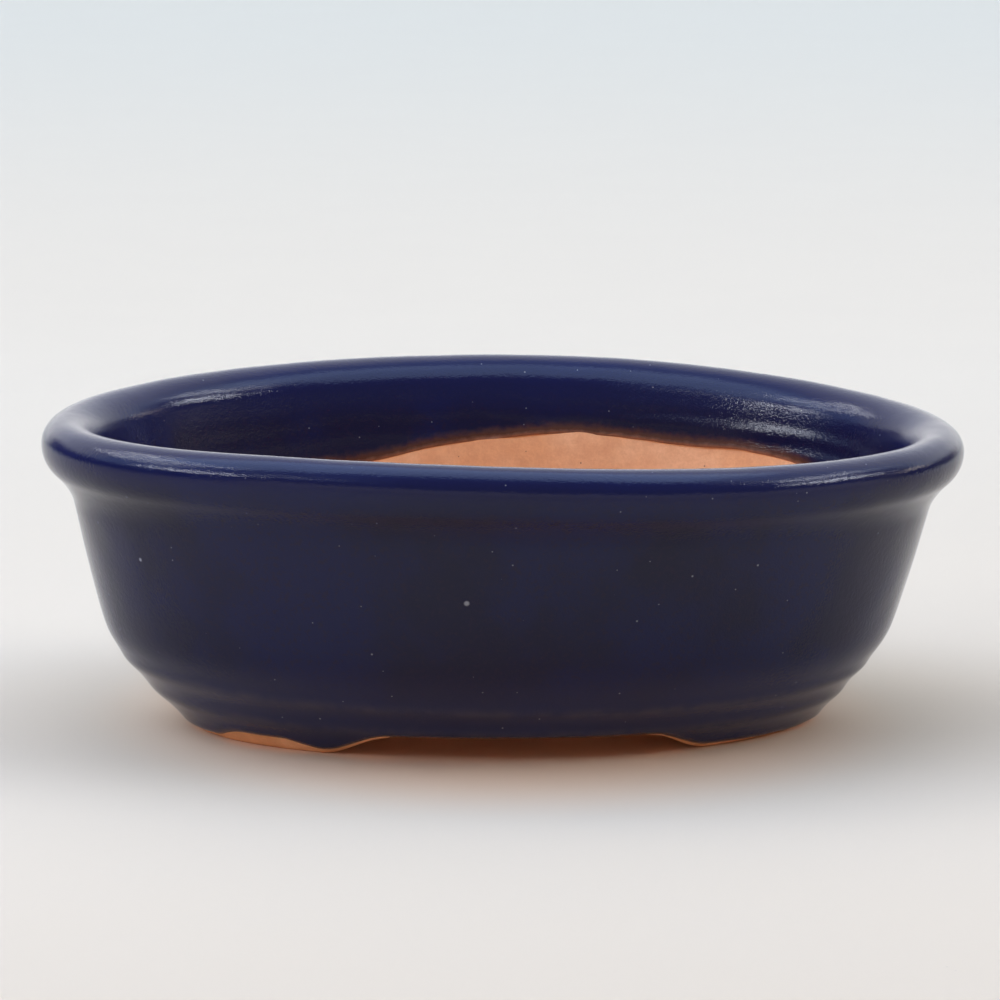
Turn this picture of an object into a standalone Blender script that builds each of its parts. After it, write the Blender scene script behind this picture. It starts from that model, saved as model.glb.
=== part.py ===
"""Oval bonsai pot with a rolled lip, two end feet and a fired glaze coat. Metres, +Z up, standing on Z = 0.

Every horizontal section of the pot is the lip's oval moved inwards, so a place on the pot is given by its
inset, measured square to the oval from the lip's widest line, and by its height above the ground.
"""

import math

import bmesh
import bpy

# The oval of the lip's widest line, and the height of the whole pot.
LIP_LENGTH = 0.160
LIP_DEPTH = 0.120
POT_HEIGHT = 0.053
OVAL_POWER = 2.03  # 2 is an ellipse, and more fills out its corners

# Outside of the glazed body, from the ground up.
BASE_INSET = 0.0247
BELLY_HEIGHT = 0.0158
BELLY_INSET = 0.0113
BELLY_SOFTNESS = 0.0016
NECK_INSET = 0.0056
RIDGE_HEIGHTS = (0.0048, 0.0090)
RIDGE_PROUD = 0.0004
RIDGE_WIDTH = 0.0012

# The lip: a fat roll on top, a longer curve under it, then a hollow neck.
LIP_RADIUS = 0.0042
LIP_UNDER_RADIUS = 0.0062
LIP_UNDER_ARC = math.radians(50)
NECK_HOLLOW = 0.0050  # height of the hollow between the lip's underside and the straight wall

# Clay thicknesses, the seams between luted pieces, and the glaze.
WALL_THICKNESS = 0.0050
FLOOR_THICKNESS = 0.0056
SEAM = 0.0003
RIM_SEAM_BELOW_CREST = 0.0110  # where the lip's coil is luted on the wall
LAP_UNDER_WALL = 0.0050  # flat ring of the wall that a foot is luted under
FLOOR_LEDGE = 0.0010  # least flat ledge that the wall leaves around the floor inside
GLAZE_THICKNESS = 0.0005
GLAZE_INSIDE = 0.0140  # how far the glaze runs down inside, below the crest of the lip
GLAZE_ABOVE_GROUND = 0.0010  # bare clay left along the bottom of the feet

# Feet, and the arch left open between them at the front and at the back.
FOOT_HEIGHT = 0.0045
FOOT_WIDTH = 0.0052
FOOT_TOE = 0.0007  # thickness of a foot where it dies out under the arch
ARCH_FULL_LENGTH = 0.045
ARCH_GROUND_LENGTH = 0.062

# Holes in the floor.
DRAIN_DIAMETER = 0.013
DRAIN_SPACING = 0.048
WIRE_HOLE_DIAMETER = 0.004
WIRE_HOLE_SPACING = (0.022, 0.026)  # along X and along Y

# Facets.
FLAT_STATIONS = 4  # in each quarter of the oval, over the open arch
RAMP_STATIONS = 3
END_STATIONS = 7
SKIRT_STEPS = 12
WALL_STEPS = 3
NECK_STEPS = 3
LIP_STEPS = 7
FOOT_STEPS = 3
DRAIN_FACETS = 28
WIRE_HOLE_FACETS = 12
SHARP_ANGLE = math.radians(40)

NECK_HEIGHT = POT_HEIGHT - LIP_RADIUS - LIP_UNDER_RADIUS * math.sin(LIP_UNDER_ARC) - NECK_HOLLOW
UNDERSIDE = FOOT_HEIGHT + SEAM
CLAY_DEPTH = GLAZE_THICKNESS + SEAM


# The oval and places on it.

def oval_point(turn, inset):
    """Point of the oval at this turn, in radians from +X, moved inwards by the inset."""
    half_length, half_depth = LIP_LENGTH / 2, LIP_DEPTH / 2
    cos, sin = math.cos(turn), math.sin(turn)
    power = 2 / OVAL_POWER
    x = half_length * math.copysign(abs(cos) ** power, cos)
    y = half_depth * math.copysign(abs(sin) ** power, sin)
    normal_x = math.copysign(abs(x / half_length) ** (OVAL_POWER - 1), x) / half_length
    normal_y = math.copysign(abs(y / half_depth) ** (OVAL_POWER - 1), y) / half_depth
    length = math.hypot(normal_x, normal_y)
    return x - inset * normal_x / length, y - inset * normal_y / length


def turn_at(x, inset):
    """Turn in the first quarter where the inset oval passes this x."""
    low, high = 0.0, math.pi / 2
    for _ in range(50):
        middle = (low + high) / 2
        if oval_point(middle, inset)[0] > x:
            low = middle
        else:
            high = middle
    return (low + high) / 2


def spread(start, end, steps):
    """Evenly spaced values from start up to, but not including, end."""
    return [start + (end - start) * i / steps for i in range(steps)]


ARCH_TURN = turn_at(ARCH_FULL_LENGTH / 2, BASE_INSET)
GROUND_TURN = turn_at(ARCH_GROUND_LENGTH / 2, BASE_INSET)


def quarter_turns():
    """Turns of the first quarter, from the end of the oval to its long side, that side left out."""
    return (
        spread(0, GROUND_TURN, END_STATIONS)
        + spread(GROUND_TURN, ARCH_TURN, RAMP_STATIONS)
        + spread(ARCH_TURN, math.pi / 2, FLAT_STATIONS)
    )


def all_turns():
    first = quarter_turns()
    second = [math.pi - turn for turn in first[:0:-1]]
    half = first + [math.pi / 2] + second
    return half + [turn + math.pi for turn in half]


def ground_line(turn):
    """Height of the underside of the feet at this turn: ground, ramp, or the thin toe under the arch."""
    reach = abs(oval_point(turn, BASE_INSET)[0])
    share = (ARCH_GROUND_LENGTH / 2 - reach) / (ARCH_GROUND_LENGTH / 2 - ARCH_FULL_LENGTH / 2)
    share = min(max(share, 0.0), 1.0)
    return (FOOT_HEIGHT - FOOT_TOE) * share * share * (3 - 2 * share)


# The finished section, as points (inset, height) from the ground, up the outside, over the lip and down inside.

def body_inset(height, ridges=RIDGE_HEIGHTS):
    """Inset of the glazed outside between the ground and the neck."""
    skirt = BASE_INSET - (BASE_INSET - BELLY_INSET) * height / BELLY_HEIGHT
    rise = (height - BELLY_HEIGHT) / (NECK_HEIGHT - BELLY_HEIGHT)
    wall = BELLY_INSET - (BELLY_INSET - NECK_INSET) * rise
    inset = (skirt + wall + math.hypot(skirt - wall, BELLY_SOFTNESS)) / 2
    for ridge in ridges:
        inset -= RIDGE_PROUD * math.exp(-(((height - ridge) / RIDGE_WIDTH) ** 2))
    return inset


def hermite(start, start_slope, end, end_slope, steps):
    """Curve between two points with these end directions, both end points left out."""
    points = []
    for i in range(1, steps):
        t = i / steps
        weights = (2 * t**3 - 3 * t**2 + 1, t**3 - 2 * t**2 + t, 3 * t**2 - 2 * t**3, t**3 - t**2)
        ends = (start, start_slope, end, end_slope)
        points.append(tuple(sum(w * e[axis] for w, e in zip(weights, ends)) for axis in (0, 1)))
    return points


def lip_point(radius, angle):
    """Point on the lip's roll or on the curve under it: 0 is the widest line and a right angle the crest."""
    return radius - radius * math.cos(angle), POT_HEIGHT - LIP_RADIUS + radius * math.sin(angle)


def skirt_heights():
    """Levels of the ridged skirt and the belly turn, then of the straight wall up to the neck."""
    top = BELLY_HEIGHT * 1.25
    return spread(0, top, SKIRT_STEPS) + spread(top, NECK_HEIGHT, WALL_STEPS) + [NECK_HEIGHT]


def finished_section():
    outside = [(body_inset(height), height) for height in skirt_heights()]
    wall_slope = (BELLY_INSET - NECK_INSET) / (NECK_HEIGHT - BELLY_HEIGHT)
    under = lip_point(LIP_UNDER_RADIUS, -LIP_UNDER_ARC)
    rise = under[1] - NECK_HEIGHT
    neck = hermite(
        outside[-1],
        (-wall_slope * rise, rise),
        under,
        (-math.sin(LIP_UNDER_ARC) * rise, math.cos(LIP_UNDER_ARC) * rise),
        NECK_STEPS,
    )
    curve = [lip_point(LIP_UNDER_RADIUS, -angle) for angle in spread(LIP_UNDER_ARC, 0, NECK_STEPS)]
    over = math.pi - math.atan(wall_slope)
    roll = [lip_point(LIP_RADIUS, angle) for angle in spread(0, over, LIP_STEPS)]
    roll.append(lip_point(LIP_RADIUS, over))
    thickness = (WALL_THICKNESS + 2 * CLAY_DEPTH) / math.cos(math.atan(wall_slope))
    glaze_end = POT_HEIGHT - GLAZE_INSIDE
    inner_end = (body_inset(glaze_end) + thickness, glaze_end)
    fall = roll[-1][1] - glaze_end
    down = (wall_slope * fall, -fall)
    inside = hermite(roll[-1], down, inner_end, down, NECK_STEPS)
    return outside + neck + curve + roll + inside + [inner_end]


def moved_in(line, depth):
    """The section line moved into the clay by this depth, each point along its own normal."""
    moved = []
    for i, (inset, height) in enumerate(line):
        before, after = line[max(i - 1, 0)], line[min(i + 1, len(line) - 1)]
        run, rise = after[0] - before[0], after[1] - before[1]
        length = math.hypot(run, rise)
        moved.append((inset + depth * rise / length, height - depth * run / length))
    return moved


def inset_at(line, height):
    """Inset of the outer side of a section line at this height, read along its facets."""
    for (inset_a, low), (inset_b, high) in zip(line, line[1:]):
        if height <= high:
            return inset_a + (inset_b - inset_a) * (height - low) / (high - low)
    return line[-1][0]


def outer_side(line, low, high):
    """The outer side of a section line between two heights, cut exactly at both."""
    top = max(range(len(line)), key=lambda i: line[i][1])
    rising = line[: top + 1]
    middle = [point for point in rising if low < point[1] < high]
    return [(inset_at(rising, low), low)] + middle + [(inset_at(rising, high), high)]


FINISHED = finished_section()
GLAZE_BACK = moved_in(FINISHED, GLAZE_THICKNESS)
CLAY = moved_in(FINISHED, CLAY_DEPTH)


# Mesh helpers.

def object_from(name, mesh_data):
    bmesh.ops.recalc_face_normals(mesh_data, faces=mesh_data.faces)
    mesh = bpy.data.meshes.new(name)
    mesh_data.to_mesh(mesh)
    mesh_data.free()
    mesh.shade_smooth()
    mesh.set_sharp_from_angle(angle=SHARP_ANGLE)
    made = bpy.data.objects.new(name, mesh)
    bpy.context.scene.collection.objects.link(made)
    return made


def loop_at(mesh_data, turn, section):
    """The section's outline stood up at this turn of the oval."""
    return [mesh_data.verts.new((*oval_point(turn, inset), height)) for inset, height in section]


def swept(name, turns, section_at, closed_round):
    """A solid swept along the oval: one closed outline at each turn, joined to the next."""
    mesh_data = bmesh.new()
    loops = [loop_at(mesh_data, turn, section_at(turn)) for turn in turns]
    pairs = list(zip(loops, loops[1:]))
    if closed_round:
        pairs.append((loops[-1], loops[0]))
    else:
        mesh_data.faces.new(loops[0])
        mesh_data.faces.new(loops[-1])
    for first, second in pairs:
        for i in range(len(first)):
            j = (i + 1) % len(first)
            mesh_data.faces.new((first[i], first[j], second[j], second[i]))
    return object_from(name, mesh_data)


def cylinder(name, diameter, position, ends, segments):
    bottom, top = ends
    mesh_data = bmesh.new()
    bmesh.ops.create_cone(
        mesh_data,
        cap_ends=True,
        segments=segments,
        radius1=diameter / 2,
        radius2=diameter / 2,
        depth=top - bottom,
    )
    made = object_from(name, mesh_data)
    made.location = (*position, (top + bottom) / 2)
    return made


def cut(target, cutter):
    cutter.hide_render = True
    cutter.display_type = "WIRE"
    modifier = target.modifiers.new("Cut_" + cutter.name, "BOOLEAN")
    modifier.operation = "DIFFERENCE"
    modifier.solver = "EXACT"
    modifier.object = cutter


def material(name, color, roughness):
    made = bpy.data.materials.new(name)
    made.use_nodes = True
    shader = made.node_tree.nodes["Principled BSDF"]
    shader.inputs["Base Color"].default_value = (*color, 1)
    shader.inputs["Roughness"].default_value = roughness
    shader.inputs["Metallic"].default_value = 0
    made.diffuse_color = (*color, 1)
    return made


# Sub-parts.

def floor_seam_inset():
    """Where the wall ends and the floor slab begins: past the ring over the feet and past the ledge inside."""
    outer = inset_at(CLAY, UNDERSIDE)
    slope = (BASE_INSET - BELLY_INSET) / BELLY_HEIGHT
    inner = inset_at(CLAY, UNDERSIDE + FLOOR_THICKNESS) + WALL_THICKNESS * math.hypot(1, slope)
    return max(outer + LAP_UNDER_WALL, inner + FLOOR_LEDGE)


def make_wall():
    """The body's wall: belly, skirt and straight side, standing round the edge of the floor."""
    top = POT_HEIGHT - RIM_SEAM_BELOW_CREST
    floor_top = UNDERSIDE + FLOOR_THICKNESS
    outside = outer_side(CLAY, UNDERSIDE, top)
    plain = [(body_inset(height, ()), height) for height in skirt_heights()]
    inner_line = moved_in(plain, CLAY_DEPTH + WALL_THICKNESS)
    inside = outer_side(inner_line, floor_top, inner_rim_height())
    inside.append((rim_inner_inset(top), top))
    seam = floor_seam_inset()
    section = outside + inside[::-1] + [(seam, floor_top), (seam, UNDERSIDE)]
    return swept("wall_shell", all_turns(), lambda turn: section, True)


def inner_rim_height():
    """Height where the inside of the clay stops following the wall and starts into the lip."""
    return CLAY[-1][1]


def rim_inner_inset(height):
    """Inset of the clay's inner face above the glaze line."""
    falling = [point for point in CLAY[::-1] if point[1] < POT_HEIGHT - LIP_RADIUS]
    return inset_at(falling, height)


def make_rim():
    """The rolled lip, a coil of clay luted on the wall's top edge."""
    bottom = POT_HEIGHT - RIM_SEAM_BELOW_CREST + SEAM
    over = [point for point in CLAY if point[1] > bottom]
    section = [(inset_at(CLAY, bottom), bottom)] + over + [(rim_inner_inset(bottom), bottom)]
    return swept("rim_roll", all_turns(), lambda turn: section, True)


def make_floor():
    """The slab that closes the bottom, with two drain holes and four holes for the tie wires."""
    inset = floor_seam_inset() + SEAM
    top = UNDERSIDE + FLOOR_THICKNESS
    mesh_data = bmesh.new()
    low = [mesh_data.verts.new((*oval_point(turn, inset), UNDERSIDE)) for turn in all_turns()]
    base = mesh_data.faces.new(low)
    raised = bmesh.ops.extrude_face_region(mesh_data, geom=[base])["geom"]
    lifted = [item for item in raised if isinstance(item, bmesh.types.BMVert)]
    bmesh.ops.translate(mesh_data, verts=lifted, vec=(0, 0, top - UNDERSIDE))
    slab = object_from("floor_slab", mesh_data)
    ends = (UNDERSIDE - FLOOR_THICKNESS / 2, top + FLOOR_THICKNESS / 2)
    for i, side in enumerate((-1, 1)):
        place = (side * DRAIN_SPACING / 2, 0)
        cut(slab, cylinder(f"drain_cutter_{i}", DRAIN_DIAMETER, place, ends, DRAIN_FACETS))
    corners = [(x, y) for x in (-1, 1) for y in (-1, 1)]
    for i, (x, y) in enumerate(corners):
        place = (x * WIRE_HOLE_SPACING[0] / 2, y * WIRE_HOLE_SPACING[1] / 2)
        cut(slab, cylinder(f"wire_cutter_{i}", WIRE_HOLE_DIAMETER, place, ends, WIRE_HOLE_FACETS))
    return slab


def foot_section(turn):
    """Closed outline of a foot: its outer face follows the skirt, and its underside the ground line."""
    bottom = ground_line(turn)
    outer = spread(bottom, FOOT_HEIGHT, FOOT_STEPS) + [FOOT_HEIGHT]
    inner = inset_at(CLAY, 0) + FOOT_WIDTH
    section = [(inset_at(CLAY, height), height) for height in outer]
    return section + [(inner, FOOT_HEIGHT), (inner, bottom)]


def make_foot(name, middle_turn):
    """A low foot bent round one end of the pot, dying out into the arch at the front and the back."""
    first = quarter_turns()[: END_STATIONS + RAMP_STATIONS] + [ARCH_TURN]
    turns = [-turn for turn in first[:0:-1]] + first
    return swept(name, [middle_turn + turn for turn in turns], foot_section, False)


def glaze_section(turn):
    """Closed outline of the glaze: its face out, its back in, its lower edge following feet and arch."""
    edge = GLAZE_ABOVE_GROUND + ground_line(turn)
    if abs(oval_point(turn, BASE_INSET)[0]) < ARCH_FULL_LENGTH / 2 + SEAM:
        edge = UNDERSIDE + SEAM
    squeeze_top = RIDGE_HEIGHTS[1]
    face, back = [], []
    for front, behind in zip(FINISHED, GLAZE_BACK):
        if front[1] > squeeze_top:
            face.append(front)
            back.append(behind)
            continue
        level = edge + (squeeze_top - edge) * front[1] / squeeze_top
        face.append((inset_at(FINISHED, level), level))
        back.append((inset_at(GLAZE_BACK, level), level))
    return face + back[::-1]


def make_glaze():
    """The fired glass coat over the outside, the lip and the top of the inside."""
    return swept("glaze_coat", all_turns(), glaze_section, True)


def main():
    for old in list(bpy.data.objects):
        bpy.data.objects.remove(old, do_unlink=True)
    clay = (0.42, 0.19, 0.10)
    pieces = (
        (make_wall(), "wall_clay", clay, 0.9),
        (make_rim(), "rim_clay", clay, 0.9),
        (make_floor(), "floor_clay", clay, 0.95),
        (make_foot("foot_left", math.pi), "left_foot_clay", clay, 0.9),
        (make_foot("foot_right", 0), "right_foot_clay", clay, 0.9),
        (make_glaze(), "navy_glaze", (0.015, 0.016, 0.055), 0.2),
    )
    for piece, name, color, roughness in pieces:
        piece.data.materials.append(material(name, color, roughness))


main()
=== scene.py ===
import math

import bmesh
import bpy
import numpy as np
from mathutils import Matrix, Vector, noise


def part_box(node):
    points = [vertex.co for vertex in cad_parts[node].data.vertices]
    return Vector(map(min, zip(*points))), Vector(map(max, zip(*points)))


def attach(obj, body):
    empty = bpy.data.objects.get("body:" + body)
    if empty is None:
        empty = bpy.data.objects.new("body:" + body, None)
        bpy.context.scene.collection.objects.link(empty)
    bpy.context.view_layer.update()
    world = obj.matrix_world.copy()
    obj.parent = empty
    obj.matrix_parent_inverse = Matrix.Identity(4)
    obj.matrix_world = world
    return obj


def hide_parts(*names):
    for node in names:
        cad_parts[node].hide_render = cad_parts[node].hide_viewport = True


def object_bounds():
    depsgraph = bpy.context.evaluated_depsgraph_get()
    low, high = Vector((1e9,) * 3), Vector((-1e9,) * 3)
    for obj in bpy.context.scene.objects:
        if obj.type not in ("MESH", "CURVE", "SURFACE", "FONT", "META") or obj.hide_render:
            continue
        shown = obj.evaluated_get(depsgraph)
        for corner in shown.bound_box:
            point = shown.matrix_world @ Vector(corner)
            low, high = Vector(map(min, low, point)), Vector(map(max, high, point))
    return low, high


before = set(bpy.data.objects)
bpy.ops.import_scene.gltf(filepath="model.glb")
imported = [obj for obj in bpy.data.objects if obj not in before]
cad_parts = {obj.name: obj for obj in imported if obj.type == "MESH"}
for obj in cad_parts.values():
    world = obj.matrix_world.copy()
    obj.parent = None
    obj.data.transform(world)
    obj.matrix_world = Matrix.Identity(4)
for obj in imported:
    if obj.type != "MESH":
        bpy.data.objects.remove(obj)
cadLow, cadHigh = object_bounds()
mm = 0.001

# The pot's shape, shared by every piece. An inset is measured square to the lip's widest oval,
# and a height from the ground.
pot = {
    "length": cadHigh.x - cadLow.x,
    "depth": cadHigh.y - cadLow.y,
    "height": cadHigh.z,
    "ovalPower": 2.03,  # 2 is an ellipse
    "baseInset": 24.7 * mm,
    "bellyHeight": 15.8 * mm,
    "bellyInset": 11.3 * mm,
    "bellySoftness": 1.6 * mm,
    "neckInset": 5.6 * mm,
    "ridgeHeights": (4.8 * mm, 9.0 * mm),
    "ridgeProud": 0.40 * mm,
    "ridgeWidth": 1.2 * mm,
    "lipRadius": 4.2 * mm,
    "lipInnerRadius": 6.0 * mm,
    "lipUnderRadius": 6.2 * mm,
    "lipUnderArc": math.radians(50),
    "neckHollow": 5.0 * mm,
    "wallThickness": 6.6 * mm,  # clay and glaze together
    "straightBelow": 15 * mm,  # from the crest down to where the inside wall runs straight
    "cove": 5 * mm,  # rounded corner between the inside wall and the floor
    "coveReach": 2.5 * mm,
    "coveRun": 6 * mm,
    "floorTop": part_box("floor_slab")[1].z,
    "underside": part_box("floor_slab")[0].z,
    "footTop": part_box("foot_left")[1].z,
    "rimSeam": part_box("rim_roll")[0].z,
    "archLength": 42 * mm,
    "archGroundLength": 66.5 * mm,
    "toe": 0.58 * mm,  # thickness of a foot where it dies out under the arch
}
pot["underLip"] = pot["height"] - pot["lipRadius"] - pot["lipUnderRadius"] * math.sin(pot["lipUnderArc"])
pot["neckHeight"] = pot["underLip"] - pot["neckHollow"]
pot["wallSlope"] = (pot["bellyInset"] - pot["neckInset"]) / (pot["neckHeight"] - pot["bellyHeight"])

# How far the soft clay strayed, in waves round the pot: (level, cosines, sines) in millimetres.
strayed = {
    "lift": (0.285, (-1.023, -0.977, 0.140, 0.006), (1.037, 0.340, -0.107, -0.203)),  # the lip, upwards
    "lip": (0.0, (0.662, -0.202, 0.110, 0.066), (-0.156, 0.820, -0.252, 0)),  # the lip, outwards
    "belly": (-0.402, (-0.076, 0.203), (0, 0)),
    "base": (-0.187, (1.000, -0.461), (0.151, 1.041)),
    "ridges": (0.9, (-0.3, 0.8), (0, 0)),  # how much higher the ridges run
    "bellyReach": 10 * mm,
    "baseReach": 6 * mm,
}


def ovalPoint(turn, inset):
    # the lip's oval at this turn from +X, moved inwards along its normal
    a, b, power = pot["length"] / 2, pot["depth"] / 2, pot["ovalPower"]
    c, s = np.cos(turn), np.sin(turn)
    x = a * np.sign(c) * np.abs(c) ** (2 / power)
    y = b * np.sign(s) * np.abs(s) ** (2 / power)
    nx = np.sign(x) * np.abs(x / a) ** (power - 1) / a
    ny = np.sign(y) * np.abs(y / b) ** (power - 1) / b
    size = np.hypot(nx, ny)
    return x - inset * nx / size, y - inset * ny / size


def waves(part, turn):
    level, cosines, sines = strayed[part]
    total = level + 0 * turn
    for k, (c, w) in enumerate(zip(cosines, sines), 1):
        total = total + c * np.cos(k * turn) + w * np.sin(k * turn)
    return total * mm


def lifted(height, turn):
    return height + height / pot["height"] * waves("lift", turn)


def handmade(turn, inset, height):
    # where a point of the drawing came to lie: sagging, leaning and out of true
    out = height / pot["height"] * waves("lip", turn)
    fromBelly = (height - pot["bellyHeight"]) / strayed["bellyReach"]
    out = out + np.exp(-(fromBelly**2)) * waves("belly", turn)
    out = out + np.exp(-((height / strayed["baseReach"]) ** 2)) * waves("base", turn)
    return (*ovalPoint(turn, inset - out), lifted(height, turn))


def bodyInset(height):
    # outside of the body up to the neck, without its ridges: skirt, soft belly turn, straight wall
    skirt = pot["baseInset"] - (pot["baseInset"] - pot["bellyInset"]) * height / pot["bellyHeight"]
    wall = pot["bellyInset"] - pot["wallSlope"] * (height - pot["bellyHeight"])
    return (skirt + wall + np.hypot(skirt - wall, pot["bellySoftness"])) / 2


def ridgeShape(height, turn):
    # 1 on the top of each ridge, fading to 0; the ridges rise a little towards the ends of the pot
    level = height - waves("ridges", turn) * height / pot["ridgeHeights"][1]
    return sum(np.exp(-(((level - ridge) / pot["ridgeWidth"]) ** 2)) for ridge in pot["ridgeHeights"])


def lipPoint(radius, angle):
    # the lip's roll: 0 is the widest line and a right angle the crest
    return radius - radius * np.cos(angle), pot["height"] - pot["lipRadius"] + radius * np.sin(angle)


def curveBetween(start, startSlope, end, endSlope, steps):
    # the points between two ends, smooth with a slope at each
    t = np.linspace(0, 1, steps + 1)[1:-1, None]
    weights = (2 * t**3 - 3 * t**2 + 1, t**3 - 2 * t**2 + t, 3 * t**2 - 2 * t**3, t**3 - t**2)
    return sum(w * np.array(e) for w, e in zip(weights, (start, startSlope, end, endSlope)))


def finishedLine():
    # (inset, height) from just under the ground, up the outside, over the lip and down to the floor
    slope = pot["wallSlope"]
    heights = np.linspace(-1.5 * mm, pot["neckHeight"], 200)
    outside = np.stack([bodyInset(heights), heights], 1)
    under = lipPoint(pot["lipUnderRadius"], -pot["lipUnderArc"])
    rise = under[1] - pot["neckHeight"]
    sin, cos = math.sin(pot["lipUnderArc"]), math.cos(pot["lipUnderArc"])
    neck = curveBetween(outside[-1], (-slope * rise, rise), under, (-sin * rise, cos * rise), 24)
    angles = np.linspace(-pot["lipUnderArc"], 0, 30)[:-1]
    curve = np.stack(lipPoint(pot["lipUnderRadius"], angles), 1)
    angles = np.linspace(0, math.pi / 2, 44)[:-1]
    roll = np.stack(lipPoint(pot["lipRadius"], angles), 1)
    angles = np.linspace(math.pi / 2, math.pi - math.atan(slope), 50)
    wide = pot["lipInnerRadius"]
    innerHeights = pot["height"] - wide + wide * np.sin(angles)
    inner = np.stack([pot["lipRadius"] - wide * np.cos(angles), innerHeights], 1)
    roll = np.concatenate([roll, inner])
    heights = np.linspace(pot["height"] - pot["straightBelow"], pot["floorTop"] + pot["cove"], 80)
    inside = np.stack([bodyInset(heights) + pot["wallThickness"] * math.hypot(1, slope), heights], 1)
    fall = roll[-1][1] - heights[0]
    down = (slope * fall, -fall)
    blend = curveBetween(roll[-1], down, inside[0], down, 30)
    direction = inside[-1] - inside[-2]
    direction = direction / abs(direction[1]) * pot["cove"]
    end = inside[-1] + direction + np.array((pot["coveReach"], 0))
    corner = curveBetween(inside[-1], direction * 1.3, end, (pot["coveRun"], 0), 16)
    return np.concatenate([outside, neck, curve, roll, blend, inside, corner, [end]])


def normalsOf(points):
    step = np.gradient(points, axis=0)
    step /= np.linalg.norm(step, axis=1)[:, None]
    return np.stack([-step[:, 1], step[:, 0]], 1)


finished = finishedLine()
lineNormal = normalsOf(finished)
lineLength = np.concatenate([[0], np.cumsum(np.linalg.norm(np.diff(finished, axis=0), axis=1))])
crestIndex = int(np.argmax(finished[:, 1]))


def outsideAt(height):
    return np.interp(height, finished[:crestIndex, 1], lineLength[:crestIndex])


def insideAt(height):
    return np.interp(-height, -finished[crestIndex:, 1], lineLength[crestIndex:])


def onLine(place, depth):
    # the finished line at this length along it, moved into the clay by the depth
    point = [np.interp(place, lineLength, finished[:, k]) for k in (0, 1)]
    out = [np.interp(place, lineLength, lineNormal[:, k]) for k in (0, 1)]
    return point[0] - depth * out[0], point[1] - depth * out[1]


def groundLine(turn):
    # underside of the feet: ground, ramp, or the thin toe under the arch
    reach = np.abs(ovalPoint(turn, pot["baseInset"])[0])
    ramp = (pot["archGroundLength"] - pot["archLength"]) / 2
    share = np.clip((pot["archGroundLength"] / 2 - reach) / ramp, 0, 1)
    return (pot["footTop"] - pot["toe"]) * share * share * (3 - 2 * share)


def wavy(turn, seed, ripples):
    # a line that wanders round the oval: ripples are (count round the pot, size)
    total = np.zeros_like(turn)
    for count, size in ripples:
        flat = [noise.noise(Vector((math.cos(t) * count, math.sin(t) * count, seed))) for t in turn]
        total += size * np.array(flat) * 2
    return total


def relief(points, layers, seed):
    # moves a grid of points along its normals by smooth noise: layers are (wavelength, size)
    across = np.gradient(points, axis=0)
    along = np.gradient(points, axis=1)
    normal = np.cross(across, along)
    normal /= np.maximum(np.linalg.norm(normal, axis=2), 1e-12)[:, :, None]
    flat = points.reshape(-1, 3)
    move = np.zeros(len(flat))
    for wavelength, size in layers:
        move += size * np.array([noise.noise(Vector(p / wavelength) + Vector((seed, 0, 0))) for p in flat])
    return points + normal * move.reshape(points.shape[:2])[:, :, None]


def pieceFrom(name, loops, closedRound, attributes=None):
    # a closed body from loops of points, one at each station round the oval
    stations, count = loops.shape[:2]
    index = np.arange(stations * count).reshape(stations, count)
    beside = np.roll(index, -1, axis=0)
    if not closedRound:
        index, beside = index[:-1], beside[:-1]
    quads = np.stack([index, np.roll(index, -1, 1), np.roll(beside, -1, 1), beside], 2).reshape(-1, 4)
    mesh = bpy.data.meshes.new(name)
    faces = quads.tolist()
    if not closedRound:
        faces += [list(range(count))[::-1], list(range((stations - 1) * count, stations * count))]
    mesh.from_pydata(loops.reshape(-1, 3).tolist(), [], faces)
    closed = bmesh.new()
    closed.from_mesh(mesh)
    bmesh.ops.recalc_face_normals(closed, faces=closed.faces)
    closed.to_mesh(mesh)
    closed.free()
    for key, values in (attributes or {}).items():
        layer = mesh.attributes.new(key, "FLOAT", "POINT")
        layer.data.foreach_set("value", values.reshape(-1).astype(np.float32))
    mesh.shade_smooth()
    made = bpy.data.objects.new(name, mesh)
    bpy.context.scene.collection.objects.link(made)
    return made


def standUp(turns, insets, heights):
    # puts (inset, height) loops round the oval and bends them by hand
    return np.stack(handmade(turns[:, None], insets, heights), 2)


def fullTurns(count):
    return np.arange(count) * 2 * math.pi / count


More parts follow.
